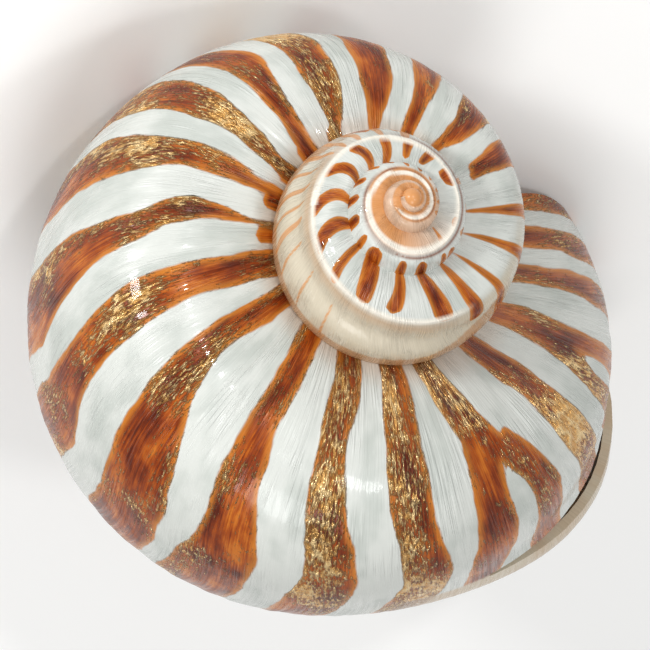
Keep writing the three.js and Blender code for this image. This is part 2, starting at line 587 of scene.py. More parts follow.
@dataclass(frozen=True)
class Band:
    """One brown band down the body whorl.

    Args:
        middles: Turn of its middle at each of STATIONS, from the seam down to the widest part.
        halves: Half its width at each, in quarter turns.
        top: Angle at which it begins.
        foot: Angle at which it ends.
        gold: How much gold leaf it carries.
        narrows: Share of its width that is lost on the base.
        drift: How far it is carried on there, in quarter turns.
    """

    middles: tuple[float, float, float, float, float]
    halves: tuple[float, float, float, float, float]
    top: float = 200.0
    foot: float = -200.0
    gold: float = 0.5
    narrows: float = 0.15
    drift: float = 0.05

    def distance(self, turn: np.ndarray, angle: np.ndarray) -> np.ndarray:
        """How far inside the marking places are.

        Args:
            turn: Quarter turns along the tube.
            angle: Degrees round the section.

        Returns:
            Quarter turns to its nearer edge, below zero outside it.
        """
        at = (-angle, [-s for s in STATIONS])
        middle = smooth_interp(*at, self.middles)
        half = smooth_interp(*at, self.halves)
        under = smooth(angle, 0.0, -120.0)
        inside = half * (1.0 - self.narrows * under) - np.abs(turn - middle - self.drift * under)
        ends = np.minimum(self.top - angle, angle - self.foot) / BAND_END
        return np.minimum(inside, ends)


def smooth_interp(x: np.ndarray, xs: list[float], ys: tuple[float, ...]) -> np.ndarray:
    """Interpolates without corners at the given points.

    Args:
        x: Where to read it.
        xs: Rising places of the given points.
        ys: Their values.

    Returns:
        Values at x.
    """
    xs, ys = np.array(xs), np.array(ys)
    slope = np.gradient(ys, xs)
    i = np.clip(np.searchsorted(xs, x) - 1, 0, len(xs) - 2)
    width = xs[i + 1] - xs[i]
    t = np.clip((x - xs[i]) / width, 0.0, 1.0)
    a, b = 2 * t**3 - 3 * t**2 + 1, t**3 - 2 * t**2 + t
    c, d = 1.0 - a, t**3 - t**2
    return a * ys[i] + b * width * slope[i] + c * ys[i + 1] + d * width * slope[i + 1]


@dataclass(frozen=True)
class Bar:
    """A short bar on the spire.

    Args:
        turn: Turn of its middle.
        half: Half its width, in quarter turns.
        low: Angle of its foot, on the outer side.
        high: Angle of its head, by the seam above.
        bend: How far its middle is pushed back from its ends, in quarter turns.
        lean: How far its head is ahead of its foot, in quarter turns.
        taper: Share of its width that is lost towards the head.
        squareness: How square its ends are.
    """

    turn: float
    half: float
    low: float
    high: float
    bend: float = 0.0
    lean: float = 0.0
    taper: float = 0.0
    squareness: float = 7.0

    def distance(self, turn: np.ndarray, angle: np.ndarray) -> np.ndarray:
        """How far inside the marking places are.

        Args:
            turn: Quarter turns along the tube.
            angle: Degrees round the section.

        Returns:
            Quarter turns to its nearer edge, below zero outside it.
        """
        along = (angle - self.low) / (self.high - self.low)
        middle = self.turn + self.lean * (along - 0.5) - self.bend * (1.0 - (2.0 * along - 1.0) ** 2)
        rounded = np.sqrt(1.0 - np.minimum(1.0, np.abs(2.0 * along - 1.0)) ** self.squareness)
        half = self.half * (1.0 - self.taper * np.clip(along, 0.0, 1.0)) * rounded
        inside = half - np.abs(turn - middle)
        ends = np.minimum(angle - self.low, self.high - angle) / BAR_END
        return np.minimum(inside, ends)


BODY_BANDS = (
    Band((6.30, 6.33, 6.335, 6.33, 6.36), (0.030, 0.056, 0.062, 0.06, 0.06), top=84, gold=0.3),
    Band((6.60, 6.545, 6.54, 6.53, 6.56), (0.024, 0.052, 0.068, 0.07, 0.07), gold=0.7),
    Band((6.81, 6.775, 6.765, 6.76, 6.79), (0.038, 0.045, 0.056, 0.06, 0.06), gold=0.3),
    Band((7.02, 6.985, 6.992, 6.99, 7.03), (0.030, 0.068, 0.072, 0.07, 0.07), gold=0.2),
    Band((7.25, 7.213, 7.212, 7.24, 7.28), (0.028, 0.064, 0.064, 0.062, 0.06), gold=0.9),
    Band((7.46, 7.425, 7.405, 7.44, 7.49), (0.048, 0.043, 0.056, 0.045, 0.05), gold=0.2),
    Band((7.645, 7.602, 7.596, 7.612, 7.65), (0.044, 0.042, 0.056, 0.060, 0.06), gold=0.9),
    Band((7.80, 7.772, 7.788, 7.815, 7.845), (0.036, 0.040, 0.049, 0.062, 0.07), gold=0.5),
    Band((7.985, 7.955, 8.0, 8.05, 8.10), (0.012, 0.045, 0.040, 0.062, 0.085), gold=0.5),
    Band((8.20, 8.19, 8.205, 8.262, 8.325), (0.066, 0.052, 0.060, 0.052, 0.072), gold=0.4),
    Band((8.415, 8.392, 8.440, 8.515, 8.570), (0.060, 0.046, 0.064, 0.084, 0.076), gold=0.3),
    Band((8.665, 8.668, 8.684, 8.748, 8.768), (0.062, 0.046, 0.052, 0.067, 0.080), gold=0.5),
    Band((8.905, 8.880, 8.905, 8.972, 8.99), (0.064, 0.046, 0.050, 0.058, 0.062), gold=0.5),
    Band((9.125, 9.106, 9.118, 9.185, 9.20), (0.058, 0.060, 0.054, 0.055, 0.055), gold=0.8),
    Band((9.31, 9.36, 9.40, 9.44, 9.44), (0.055, 0.066, 0.092, 0.09, 0.08), foot=65, gold=0.8),
    Band((9.34, 9.345, 9.337, 9.348, 9.36), (0.040, 0.055, 0.050, 0.058, 0.04), top=74, gold=0.3),
    Band((9.34, 9.40, 9.474, 9.508, 9.53), (0.04, 0.055, 0.046, 0.045, 0.045), top=74, gold=0.4),
    Band((9.615, 9.628, 9.634, 9.67, 9.70), (0.062, 0.050, 0.047, 0.042, 0.045), gold=0.9),
    Band((9.85, 9.838, 9.785, 9.80, 9.83), (0.056, 0.054, 0.028, 0.03, 0.03), gold=0.6),
    Band((9.85, 9.838, 9.862, 9.88, 9.90), (0.050, 0.050, 0.030, 0.03, 0.03), gold=0.4),
    Band((10.05, 10.034, 10.018, 10.0, 10.0), (0.036, 0.036, 0.034, 0.028, 0.03), gold=0.3),
    Band((10.18, 10.165, 10.13, 10.11, 10.11), (0.03, 0.038, 0.034, 0.03, 0.03), gold=0.3),
    Band((10.33, 10.29, 10.25, 10.22, 10.2), (0.03, 0.034, 0.034, 0.03, 0.03), gold=0.3),
)

SEAM_BLOTS = (
    Bar(7.30, 0.035, 96, 125, lean=0.03),
    Bar(7.50, 0.050, 98, 125, lean=0.04),
    Bar(7.67, 0.060, 100, 125, lean=0.03),
    Bar(7.85, 0.068, 101, 125, lean=0.04),
    Bar(8.06, 0.060, 102, 125, lean=0.03),
    Bar(8.24, 0.070, 102, 125, lean=0.03),
    Bar(8.44, 0.060, 100, 125, lean=0.04),
)

SPIRE_BARS = (
    Bar(2.37, 0.12, 62.5, 78, lean=0.05, taper=0.3),
    Bar(2.67, 0.060, 61, 84, lean=0.07, taper=0.2),
    Bar(2.90, 0.060, 60, 86, lean=0.04, taper=0.3),
    Bar(3.18, 0.055, 60, 97, bend=0.05, lean=0.10),
    Bar(3.45, 0.062, 60, 97, bend=0.09, lean=0.02, taper=0.3),
    Bar(3.74, 0.080, 59, 97, bend=0.13, lean=-0.02, taper=0.4),
    Bar(4.03, 0.076, 57, 97, bend=0.13, lean=-0.08, taper=0.3),
    Bar(4.29, 0.072, 55, 97, bend=0.10, lean=-0.08, taper=0.1),
    Bar(4.51, 0.042, 54, 97, bend=0.03, lean=-0.05),
    Bar(4.72, 0.058, 58, 97, bend=-0.01, lean=-0.06, taper=-0.9),
    Bar(4.99, 0.062, 61, 97, bend=-0.02, lean=0.06, taper=0.3),
    Bar(5.27, 0.070, 56, 97, bend=-0.02, lean=-0.06, taper=0.2),
    Bar(5.50, 0.050, 40, 97, taper=0.4),
    Bar(5.68, 0.052, -30, 96, lean=-0.02, taper=0.7),
    Bar(5.89, 0.060, -30, 96, lean=-0.02, taper=0.8),
    Bar(6.08, 0.060, -30, 96, lean=-0.02, taper=0.75),
    Bar(6.22, 0.022, 60, 97, lean=0.02),
    Bar(1.83, 0.060, 63, 70),
    Bar(1.55, 0.040, 62, 92, lean=0.06, taper=0.6),
)

# The bars run on, across the seam, over the side of the whorl above.
CARRIED_BARS = tuple(
    Bar(bar.turn - 4.0 + 0.5 * bar.lean, bar.half * (1.0 - 0.6 * bar.taper), -30, 50, lean=-0.08)
    for bar in SPIRE_BARS
    if 3.0 < bar.turn < 5.6
)

# On the far side of the spire the bars stand on the wall, in step all the way up.
FAR_BARS = tuple(Bar(1.62 + 0.235 * step, 0.056, -40, 47, lean=-0.10) for step in range(8)) + tuple(
    Bar(-2.2 + 0.24 * step, 0.05, -40, 60, lean=-0.08) for step in range(6)
)

SIDE_LINES = (
    Bar(1.80, 0.030, 10, 52, lean=-0.05),
    Bar(2.28, 0.030, 30, 60),
    Bar(2.90, 0.040, 20, 60, lean=0.04),
    Bar(3.15, 0.030, 10, 60, lean=-0.06),
    Bar(3.32, 0.025, 0, 60),
    Bar(3.45, 0.020, -5, 58),
    Bar(3.60, 0.022, -14, 54, lean=-0.10),
    Bar(3.74, 0.014, -16, 50, lean=-0.10),
    Bar(3.88, 0.018, -16, 48, lean=-0.12),
    Bar(4.00, 0.012, -16, 46, lean=-0.12),
    Bar(4.12, 0.020, -14, 45, lean=-0.14),
    Bar(4.26, 0.010, -14, 40, lean=-0.12),
    Bar(4.45, 0.008, -14, 44, lean=-0.10),
    Bar(4.66, 0.008, -14, 36, lean=-0.06),
)


# Turns, and the angles at which the seam lies there: below the spire's wall, and above the
# body whorl's shoulder.
WALL_FOOT = ((3.4, 3.75, 4.0, 4.5, 4.75, 5.0, 5.25, 5.5, 5.7), (40, 8, -7, -14, -10, -3, 6, 28, 46))
BODY_HEAD = ((6.2, 7.0, 7.5, 8.0, 8.5, 9.0, 9.5, 10.0), (92, 98, 103, 108, 107, 104, 99, 92))


Step = tuple[float, float]


@dataclass(frozen=True)
class Markings:
    """Where each marking lies on the shell, written on the mesh for its finish to read.

    Args:
        coil: The shell's coil.
        thread: Its keel thread.
        ridges: Its growth ridges.
        grown: Size of the section where the grain has its full coarseness.
        section_radius: Mean radius of the section at turn 0, mm.
        bars_end: Turn at which the spire's bars give way to the body whorl's bands.
        spire_ends: Turns over which the spire's finish gives way to the body whorl's.
        peach_turns: Turns over which the peach of the first whorls comes in.
        peach_angles: Angles over which it comes in above the thread.
        tip_turns: Turns over which the whole of the tip turns peach.
        tip_peach: How peach it turns.
        crest: Share of the thread's height over which its white comes in.
        white_angles: Degrees above the thread over which the white by it rises and falls.
        white_turns: Turns over which it does.
        seam_place: Degrees from the seam line up to the thread, and the line's half width.
        seam_turns: Turns over which the seam line comes and goes.
        foot_angles: Degrees above the wall's foot over which its line of painted shade comes in.
        foot_turns: Turns over which it comes and goes.
        lee_angles: Angles over which the shade under the shoulder comes in.
        lee_turns: Turns over which it comes and goes.
        lee_stops: Angle above which there is none.
        head_angles: Degrees from the body whorl's seam over which its painted shade comes in.
        head_turns: Turns over which it comes in.
        painted_shade_shares: Strength of the painted shade along the foot's line, under the shoulder and
            along the body's seam.
        wall_turns: Turns over which the cream wall, darkened with painted shade, comes and goes.
        wall_angles: Angles over which it comes in below the shoulder.
        flange_turns: Turns over which the bare flange below the slit comes in.
        flange_angles: Angles over which it rises and falls.
        gold_reach: Quarter turns past a band's edge that its gold is noted.
    """

    coil: Coil
    thread: KeelThread
    ridges: GrowthRidges
    grown: float = 5.5
    section_radius: float = 3.5
    bars_end: float = 6.18
    spire_ends: Step = (6.15, 6.3)
    peach_turns: Step = (2.2, 0.6)
    peach_angles: Step = (58.0, 66.0)
    tip_turns: Step = (-1.2, -2.2)
    tip_peach: float = 0.6
    crest: Step = (0.35, 0.75)
    white_angles: tuple[Step, Step] = ((-3.0, -1.0), (9.0, 6.0))
    white_turns: tuple[Step, Step] = ((-3.6, -2.8), (2.4, 1.4))
    seam_place: tuple[float, float] = (7.0, 2.6)
    seam_turns: tuple[Step, Step] = ((-4.0, -2.0), (3.4, 2.6))
    foot_angles: Step = (4.0, 0.5)
    foot_turns: tuple[Step, Step] = ((3.3, 3.5), (5.8, 5.6))
    lee_angles: Step = (40.0, 54.0)
    lee_turns: tuple[Step, Step] = ((3.2, 3.6), (5.7, 5.0))
    lee_stops: float = 58.0
    head_angles: Step = (-9.0, 0.0)
    head_turns: Step = (6.3, 6.8)
    painted_shade_shares: tuple[float, float, float] = (0.7, 0.45, 0.3)
    wall_turns: tuple[Step, Step] = ((3.2, 4.0), (6.3, 5.7))
    wall_angles: Step = (60.0, 52.0)
    flange_turns: Step = (9.1, 9.3)
    flange_angles: tuple[Step, Step] = ((5.0, 3.0), (-16.0, -12.0))
    gold_reach: float = 0.02

    def nearest(
        self, marks: tuple[Band | Bar, ...], turn: np.ndarray, angle: np.ndarray
    ) -> np.ndarray:
        """How far inside the nearest of some marks places are.

        Args:
            marks: The marks.
            turn: Quarter turns along the tube.
            angle: Degrees round the section.

        Returns:
            Steps of grain, below zero outside every mark.
        """
        best = np.full(turn.shape, -1.0)
        for mark in marks:
            best = np.maximum(best, mark.distance(turn, angle))
        return best * self.coil.girth(turn, angle) * self.fineness(turn)

    def fineness(self, turn: np.ndarray) -> np.ndarray:
        """How much finer the grain of the shell is than on the body whorl."""
        return np.sqrt(self.grown / self.coil.size(turn))

    def along(self, turn: np.ndarray) -> np.ndarray:
        """Distance along the widest part of the tube.

        Args:
            turn: Quarter turns along the tube.

        Returns:
            Steps of grain, each about 1 mm on the body whorl.
        """
        grid = np.linspace(-8.0, 11.0, 1901)
        rate = self.coil.girth(grid, np.zeros(1)) * self.fineness(grid)
        total = np.concatenate([[0.0], np.cumsum((rate[1:] + rate[:-1]) / 2.0 * np.diff(grid))])
        return np.interp(turn, grid, total)

    def bands(self, turn: np.ndarray, angle: np.ndarray) -> np.ndarray:
        """How far inside the brown markings places are.

        Args:
            turn: Quarter turns along the tube.
            angle: Degrees round the section.

        Returns:
            Steps of grain, below zero outside them.
        """
        body_bands = self.nearest(BODY_BANDS + SEAM_BLOTS, turn, angle)
        bars = self.nearest(SPIRE_BARS + CARRIED_BARS + FAR_BARS, turn, angle)
        return np.where(turn > self.bars_end, body_bands, np.maximum(bars, -1.0))

    def gold(self, turn: np.ndarray, angle: np.ndarray) -> np.ndarray:
        """How much gold leaf the band at a place carries.

        Args:
            turn: Quarter turns along the tube.
            angle: Degrees round the section.

        Returns:
            A share from 0 to 1.
        """
        gold = np.zeros(turn.shape)
        for band in BODY_BANDS:
            gold = np.where(band.distance(turn, angle) > -self.gold_reach, band.gold, gold)
        return gold

    def peach(self, turn: np.ndarray, angle: np.ndarray, skin: np.ndarray) -> np.ndarray:
        """How peach the first whorls are.

        Args:
            turn: Quarter turns along the tube.
            angle: Degrees round the section.
            skin: Which surface it is.

        Returns:
            A share from 0 to 1.
        """
        peach = smooth(turn, *self.peach_turns) * smooth(angle, *self.peach_angles)
        peach = np.maximum(peach, (skin == Skin.NUCLEUS).astype(float))
        return np.maximum(peach, self.tip_peach * smooth(turn, *self.tip_turns))

    def white(self, turn: np.ndarray, angle: np.ndarray) -> np.ndarray:
        """How white the thread is, and the strip above it on the first whorls.

        Args:
            turn: Quarter turns along the tube.
            angle: Degrees round the section.

        Returns:
            A share from 0 to 1.
        """
        above = angle - self.thread.angle(turn)
        strip = span(above, *self.white_angles) * span(turn, *self.white_turns)
        return np.maximum(smooth(self.thread.amount(turn, angle), *self.crest), strip)

    def seam(self, turn: np.ndarray, angle: np.ndarray) -> np.ndarray:
        """How dark the seam line below the thread is.

        Args:
            turn: Quarter turns along the tube.
            angle: Degrees round the section.

        Returns:
            A share from 0 to 1.
        """
        below, width = self.seam_place
        line = np.exp(-(((angle - self.thread.angle(turn) + below) / width) ** 2))
        return line * span(turn, *self.seam_turns)

    def tan(self, turn: np.ndarray, angle: np.ndarray) -> np.ndarray:
        """How much brownish painted shade lies along the wall's foot, under the shoulder and along the
        body's seam.

        Args:
            turn: Quarter turns along the tube.
            angle: Degrees round the section.

        Returns:
            A share from 0 to 1.
        """
        at_foot, at_lee, at_head = self.painted_shade_shares
        foot = smooth(angle - np.interp(turn, *WALL_FOOT), *self.foot_angles)
        foot = foot * span(turn, *self.foot_turns)
        lee = smooth(angle, *self.lee_angles) * span(turn, *self.lee_turns)
        lee = lee * (1.0 - self.thread.amount(turn, angle)) * (angle < self.lee_stops)
        head = smooth(angle - np.interp(turn, *BODY_HEAD), *self.head_angles)
        head = head * smooth(turn, *self.head_turns)
        return np.maximum(np.maximum(at_foot * foot, at_lee * lee), at_head * head)

    def grain(self, turn: np.ndarray, angle: np.ndarray) -> np.ndarray:
        """Places on the shell laid out flat along the growth lines, for its grain.

        Args:
            turn: Quarter turns along the tube.
            angle: Degrees round the section.

        Returns:
            Steps of grain across the growth lines and along them, and a zero.
        """
        radius = self.coil.size(turn) * self.section_radius * self.fineness(turn)
        across = self.along(self.ridges.line(turn, angle))
        return np.stack([across, np.radians(angle) * radius, np.zeros(turn.shape)], axis=-1)

    def write(self, body: bpy.types.Object) -> None:
        """Works the markings out at every corner of the mesh and stores them as attributes.

        Args:
            body: The shell.
        """
        mesh = body.data
        raw = np.zeros(len(mesh.loops) * 3, np.float32)
        mesh.attributes["coil"].data.foreach_get("vector", raw)
        turn, angle, skin = raw.reshape(-1, 3).astype(float).T
        values = {
            "band_mm": self.bands(turn, angle),
            "line_mm": self.nearest(SIDE_LINES, turn, angle),
            "peach": self.peach(turn, angle, skin),
            "thread": self.white(turn, angle),
            "seam": self.seam(turn, angle),
            # foot: brownish painted shade along the seams and under the shoulder
            "foot": self.tan(turn, angle),
            # wall: the cream wall, darkened as painted shade under the shoulder
            "wall": span(turn, *self.wall_turns) * smooth(angle, *self.wall_angles),
            "flange": smooth(turn, *self.flange_turns) * span(angle, *self.flange_angles),
            "gold": self.gold(turn, angle),
            "young": 1.0 - smooth(turn, *self.spire_ends),
        }
        for name, value in values.items():
            attribute = mesh.attributes.new(name, "FLOAT", "CORNER")
            attribute.data.foreach_set("value", value.astype(np.float32))
        attribute = mesh.attributes.new("growth_mm", "FLOAT_VECTOR", "CORNER")
        attribute.data.foreach_set("vector", self.grain(turn, angle).astype(np.float32).ravel())
        starts = np.zeros(len(mesh.polygons), np.int32)
        mesh.polygons.foreach_get("loop_start", starts)
        inner = np.isin(np.round(skin[starts]), (Skin.INSIDE, Skin.EDGE, Skin.PILLAR))
        mesh.polygons.foreach_set("material_index", inner.astype(np.int32))
        LOG.info("markings on %d corners", len(turn))


# ---- the finish -------------------------------------------------------------------------------

Colour = tuple[float, float, float]
Source = bpy.types.NodeSocket | float | Colour


class Graph:
    """A node tree being written, with short ways to add its commonest nodes."""

    def __init__(self, tree: bpy.types.NodeTree) -> None:
        """Starts on a tree, which may already hold nodes."""
        self.tree = tree

    def add(self, kind: str, **settings: object) -> bpy.types.Node:
        """Adds a node.

        Args:
            kind: Type of the node.
            settings: Its properties.

        Returns:
            The node.
        """
        node = self.tree.nodes.new(kind)
        for name, value in settings.items():
            setattr(node, name, value)
        return node

    def feed(self, socket: bpy.types.NodeSocket, source: Source) -> None:
        """Links a socket to a source, or sets it to a number or colour.

        Args:
            socket: The input to feed.
            source: What feeds it.
        """
        if isinstance(source, bpy.types.NodeSocket):
            self.tree.links.new(source, socket)
        elif isinstance(source, tuple) and socket.type == "RGBA":
            socket.default_value = (*source, 1.0)
        else:
            socket.default_value = source

    def attribute(self, name: str, output: str = "Fac") -> bpy.types.NodeSocket:
        """Reads a mesh attribute."""
        return self.add("ShaderNodeAttribute", attribute_name=name).outputs[output]

    def math(self, operation: str, *sources: Source, clamp: bool = False) -> bpy.types.NodeSocket:
        """Adds a Math node.

        Args:
            operation: What it does.
            sources: Its inputs, in order.
            clamp: Whether its output is kept between 0 and 1.

        Returns:
            Its output.
        """
        node = self.add("ShaderNodeMath", operation=operation, use_clamp=clamp)
        for socket, source in zip(node.inputs, sources):
            self.feed(socket, source)
        return node.outputs[0]

    def spread(
        self, value: Source, low: Source, high: Source, to: tuple[float, float] = (0.0, 1.0)
    ) -> bpy.types.NodeSocket:
        """Maps a stretch of values to a range with a smooth step, held beyond both ends.

        Args:
            value: The value to map.
            low: Where the stretch begins.
            high: Where it ends.
            to: The range.

        Returns:
            The mapped value.
        """
        node = self.add("ShaderNodeMapRange", interpolation_type="SMOOTHSTEP")
        for name, source in (
            ("Value", value),
            ("From Min", low),
            ("From Max", high),
            ("To Min", to[0]),
            ("To Max", to[1]),
        ):
            self.feed(node.inputs[name], source)
        return node.outputs[0]

    def mix(self, share: Source, first: Source, second: Source) -> bpy.types.NodeSocket:
        """Mixes two colours.

        Args:
            share: Share of the second.
            first: The first colour.
            second: The second colour.

        Returns:
            The mixed colour.
        """
        node = self.add("ShaderNodeMix", data_type="RGBA", clamp_factor=True)
        self.feed(node.inputs["Factor"], share)
        colours = [s for s in node.inputs if s.type == "RGBA"]
        self.feed(colours[0], first)
        self.feed(colours[1], second)
        return next(s for s in node.outputs if s.type == "RGBA")

    def stretch(self, place: bpy.types.NodeSocket, across: Source, down: Source) -> bpy.types.NodeSocket:
        """Scales a place on the shell.

        Args:
            place: The place.
            across: Scale across the growth lines.
            down: Scale along them.

        Returns:
            The scaled place.
        """
        node = self.add("ShaderNodeVectorMath", operation="MULTIPLY")
        join = self.add("ShaderNodeCombineXYZ")
        self.feed(join.inputs[0], across)
        self.feed(join.inputs[1], down)
        self.feed(node.inputs[0], place)
        self.feed(node.inputs[1], join.outputs[0])
        return node.outputs[0]

    def noise(
        self, place: bpy.types.NodeSocket, detail: float = 2.0, rough: float = 0.5, warp: float = 0.0
    ) -> bpy.types.NodeSocket:
        """Adds soft noise whose clouds are about one unit wide.

        Args:
            place: Where it is read.
            detail: Finer layers in it.
            rough: How strong those are.
            warp: How far it is distorted.

        Returns:
            Its value.
        """
        node = self.add("ShaderNodeTexNoise", noise_dimensions="2D")
        self.feed(node.inputs["Vector"], place)
        for name, value in (("Scale", 1.0), ("Detail", detail), ("Roughness", rough)):
            node.inputs[name].default_value = value
        node.inputs["Distortion"].default_value = warp
        return node.outputs["Fac"]


@dataclass(frozen=True)
class Effect:
    """A shader node group with named inputs and outputs.

    Args:
        name: Name of the group.
        inputs: Name, socket type and starting value of each input.
        outputs: Name and socket type of each output.
    """

    name: str
    inputs: tuple[tuple[str, str, float | None], ...]
    outputs: tuple[tuple[str, str], ...]

    def open(self) -> tuple[Graph, bpy.types.Node, bpy.types.Node]:
        """Makes the group's tree.

        Returns:
            Its graph, its input node and its output node.
        """
        tree = bpy.data.node_groups.new(self.name, "ShaderNodeTree")
        for name, kind, value in self.inputs:
            socket = tree.interface.new_socket(name, in_out="INPUT", socket_type=kind)
            if value is not None:
                socket.default_value = value
        for name, kind in self.outputs:
            tree.interface.new_socket(name, in_out="OUTPUT", socket_type=kind)
        graph = Graph(tree)
        return graph, graph.add("NodeGroupInput"), graph.add("NodeGroupOutput")


FLOAT, VECTOR, COLOUR = "NodeSocketFloat", "NodeSocketVector", "NodeSocketColor"


class Effects:
    """The effects that the shell's finishes share, each built once."""

    def __init__(self) -> None:
        """Builds every group."""
        self.growth = self.growth_lines()
        self.edge = self.ragged_edge()
        self.leaf = self.gold_leaf()
        self.pigment = self.pigment_tones()

    @staticmethod
    def growth_lines() -> bpy.types.NodeTree:
        """Fine threads across the tube, of two sizes, patchy along their length.

        Returns:
            The node group.
        """
        graph, source, sink = Effect(
            "growth_lines",
            (("Place", VECTOR, None), ("Pitch", FLOAT, 0.6)),
            (("Threads", FLOAT), ("Height", FLOAT)),
        ).open()
        place, pitch = source.outputs["Place"], source.outputs["Pitch"]
        rate = graph.math("DIVIDE", 1.0, pitch)
        slow = graph.math("MULTIPLY", rate, 0.045)
        coarse = graph.noise(graph.stretch(place, rate, slow), 2.0, 0.6, 0.15)
        fine_rate = graph.math("MULTIPLY", rate, 3.2)
        fine = graph.noise(graph.stretch(place, fine_rate, graph.math("MULTIPLY", slow, 2.4)), 1.0)
        patch = graph.noise(graph.stretch(place, 0.16, 0.10), 2.0, 0.6)
        threads = graph.spread(coarse, 0.36, 0.66)
        share = graph.spread(patch, 0.42, 0.66, (0.12, 1.0))
        both = graph.math("ADD", threads, graph.math("MULTIPLY", fine, 0.55))
        graph.feed(sink.inputs["Threads"], threads)
        graph.feed(sink.inputs["Height"], graph.math("MULTIPLY", both, share))
        return graph.tree

    @staticmethod
    def ragged_edge() -> bpy.types.NodeTree:
        """A marking's edge that wanders and breaks into streaks along the growth lines.

        Returns:
            The node group.
        """
        graph, source, sink = Effect(
            "ragged_edge",
            (
                ("Distance", FLOAT, 0.0),
                ("Place", VECTOR, None),
                ("Wander", FLOAT, 1.0),
                ("Feather", FLOAT, 0.12),
            ),
            (("Inside", FLOAT), ("Fringe", FLOAT)),
        ).open()
        distance, place, wander, feather = (
            source.outputs[n] for n in ("Distance", "Place", "Wander", "Feather")
        )
        slow = graph.noise(graph.stretch(place, 0.26, 0.17), 2.0, 0.5)
        streak = graph.noise(graph.stretch(place, 3.0, 0.30), 2.0, 0.6)
        push = graph.math("SUBTRACT", slow, 0.5)
        push = graph.math("ADD", push, graph.math("MULTIPLY", graph.math("SUBTRACT", streak, 0.5), 0.15))
        moved = graph.math("ADD", distance, graph.math("MULTIPLY", push, wander))
        inside = graph.spread(moved, graph.math("MULTIPLY", feather, -1.0), feather)
        deep = graph.spread(moved, 0.0, graph.math("MULTIPLY", feather, 7.0))
        graph.feed(sink.inputs["Inside"], inside)
        graph.feed(sink.inputs["Fringe"], graph.math("SUBTRACT", inside, deep, clamp=True))
        return graph.tree

    @staticmethod
    def gold_leaf() -> bpy.types.NodeTree:
        """Crinkled flecks with the lustre of gold leaf.

        Returns:
            The node group.
        """
        graph, source, sink = Effect(
            "gold_leaf",
            (("Place", VECTOR, None), ("Cover", FLOAT, 0.5)),
            (("Leaf", FLOAT), ("Crinkle", FLOAT)),
        ).open()
        place, cover = source.outputs["Place"], source.outputs["Cover"]
        cells = graph.add("ShaderNodeTexVoronoi", voronoi_dimensions="2D", feature="SMOOTH_F1")
        bent = graph.add("ShaderNodeVectorMath", operation="ADD")
        graph.feed(bent.inputs[0], graph.stretch(place, 0.95, 0.65))
        curl = graph.add("ShaderNodeTexNoise", noise_dimensions="2D")
        graph.feed(curl.inputs["Vector"], graph.stretch(place, 1.1, 0.8))
        curl.inputs["Scale"].default_value = 1.0
        curl.inputs["Detail"].default_value = 2.0
        graph.feed(bent.inputs[1], graph.stretch(curl.outputs["Color"], 1.6, 1.6))
        graph.feed(cells.inputs["Vector"], bent.outputs[0])
        cells.inputs["Scale"].default_value = 1.0
        flow = graph.noise(graph.stretch(place, 0.10, 0.075), 3.0, 0.62)
        grain = graph.noise(graph.stretch(place, 2.6, 0.9), 3.0, 0.7)
        patchy = graph.math("ADD", flow, graph.math("MULTIPLY", graph.math("SUBTRACT", grain, 0.5), 0.8))
        edge = graph.math("SUBTRACT", 0.67, graph.math("MULTIPLY", cover, 0.28))
        leaf = graph.spread(patchy, edge, graph.math("ADD", edge, 0.16))
        crinkle = graph.math("ADD", cells.outputs["Distance"], graph.math("MULTIPLY", grain, 0.6))
        graph.feed(sink.inputs["Leaf"], leaf)
        graph.feed(sink.inputs["Crinkle"], crinkle)
        return graph.tree

    @staticmethod
    def pigment_tones() -> bpy.types.NodeTree:
        """The browns of a marking, streaked along the growth lines and clouded.

        Returns:
            The node group.
        """
        graph, source, sink = Effect(
            "pigment_tones",
            (("Place", VECTOR, None), ("Fringe", FLOAT, 0.0), ("Depth", FLOAT, 0.5)),
            (("Colour", COLOUR),),
        ).open()
        place = source.outputs["Place"]
        cloud = graph.noise(graph.stretch(place, 0.22, 0.14), 3.0, 0.6)
        streak = graph.noise(graph.stretch(place, 3.4, 0.16), 3.0, 0.65)
        tone = graph.math("ADD", cloud, graph.math("MULTIPLY", graph.math("SUBTRACT", streak, 0.5), 0.6))
        tone = graph.math("ADD", tone, graph.math("SUBTRACT", 0.5, source.outputs["Depth"]))
        ramp = graph.add("ShaderNodeValToRGB")
        stops = (
            (0.28, (0.095, 0.012, 0.001)),
            (0.45, (0.220, 0.038, 0.003)),
            (0.60, (0.360, 0.082, 0.006)),
            (0.76, (0.520, 0.165, 0.018)),
        )
        while len(ramp.color_ramp.elements) < len(stops):
            ramp.color_ramp.elements.new(0.5)
        for element, (at, colour) in zip(ramp.color_ramp.elements, stops):
            element.position, element.color = at, (*colour, 1.0)
        graph.feed(ramp.inputs["Fac"], tone)
        colour = graph.mix(source.outputs["Fringe"], ramp.outputs["Color"], (0.60, 0.235, 0.035))
        graph.feed(sink.inputs["Colour"], colour)
        return graph.tree


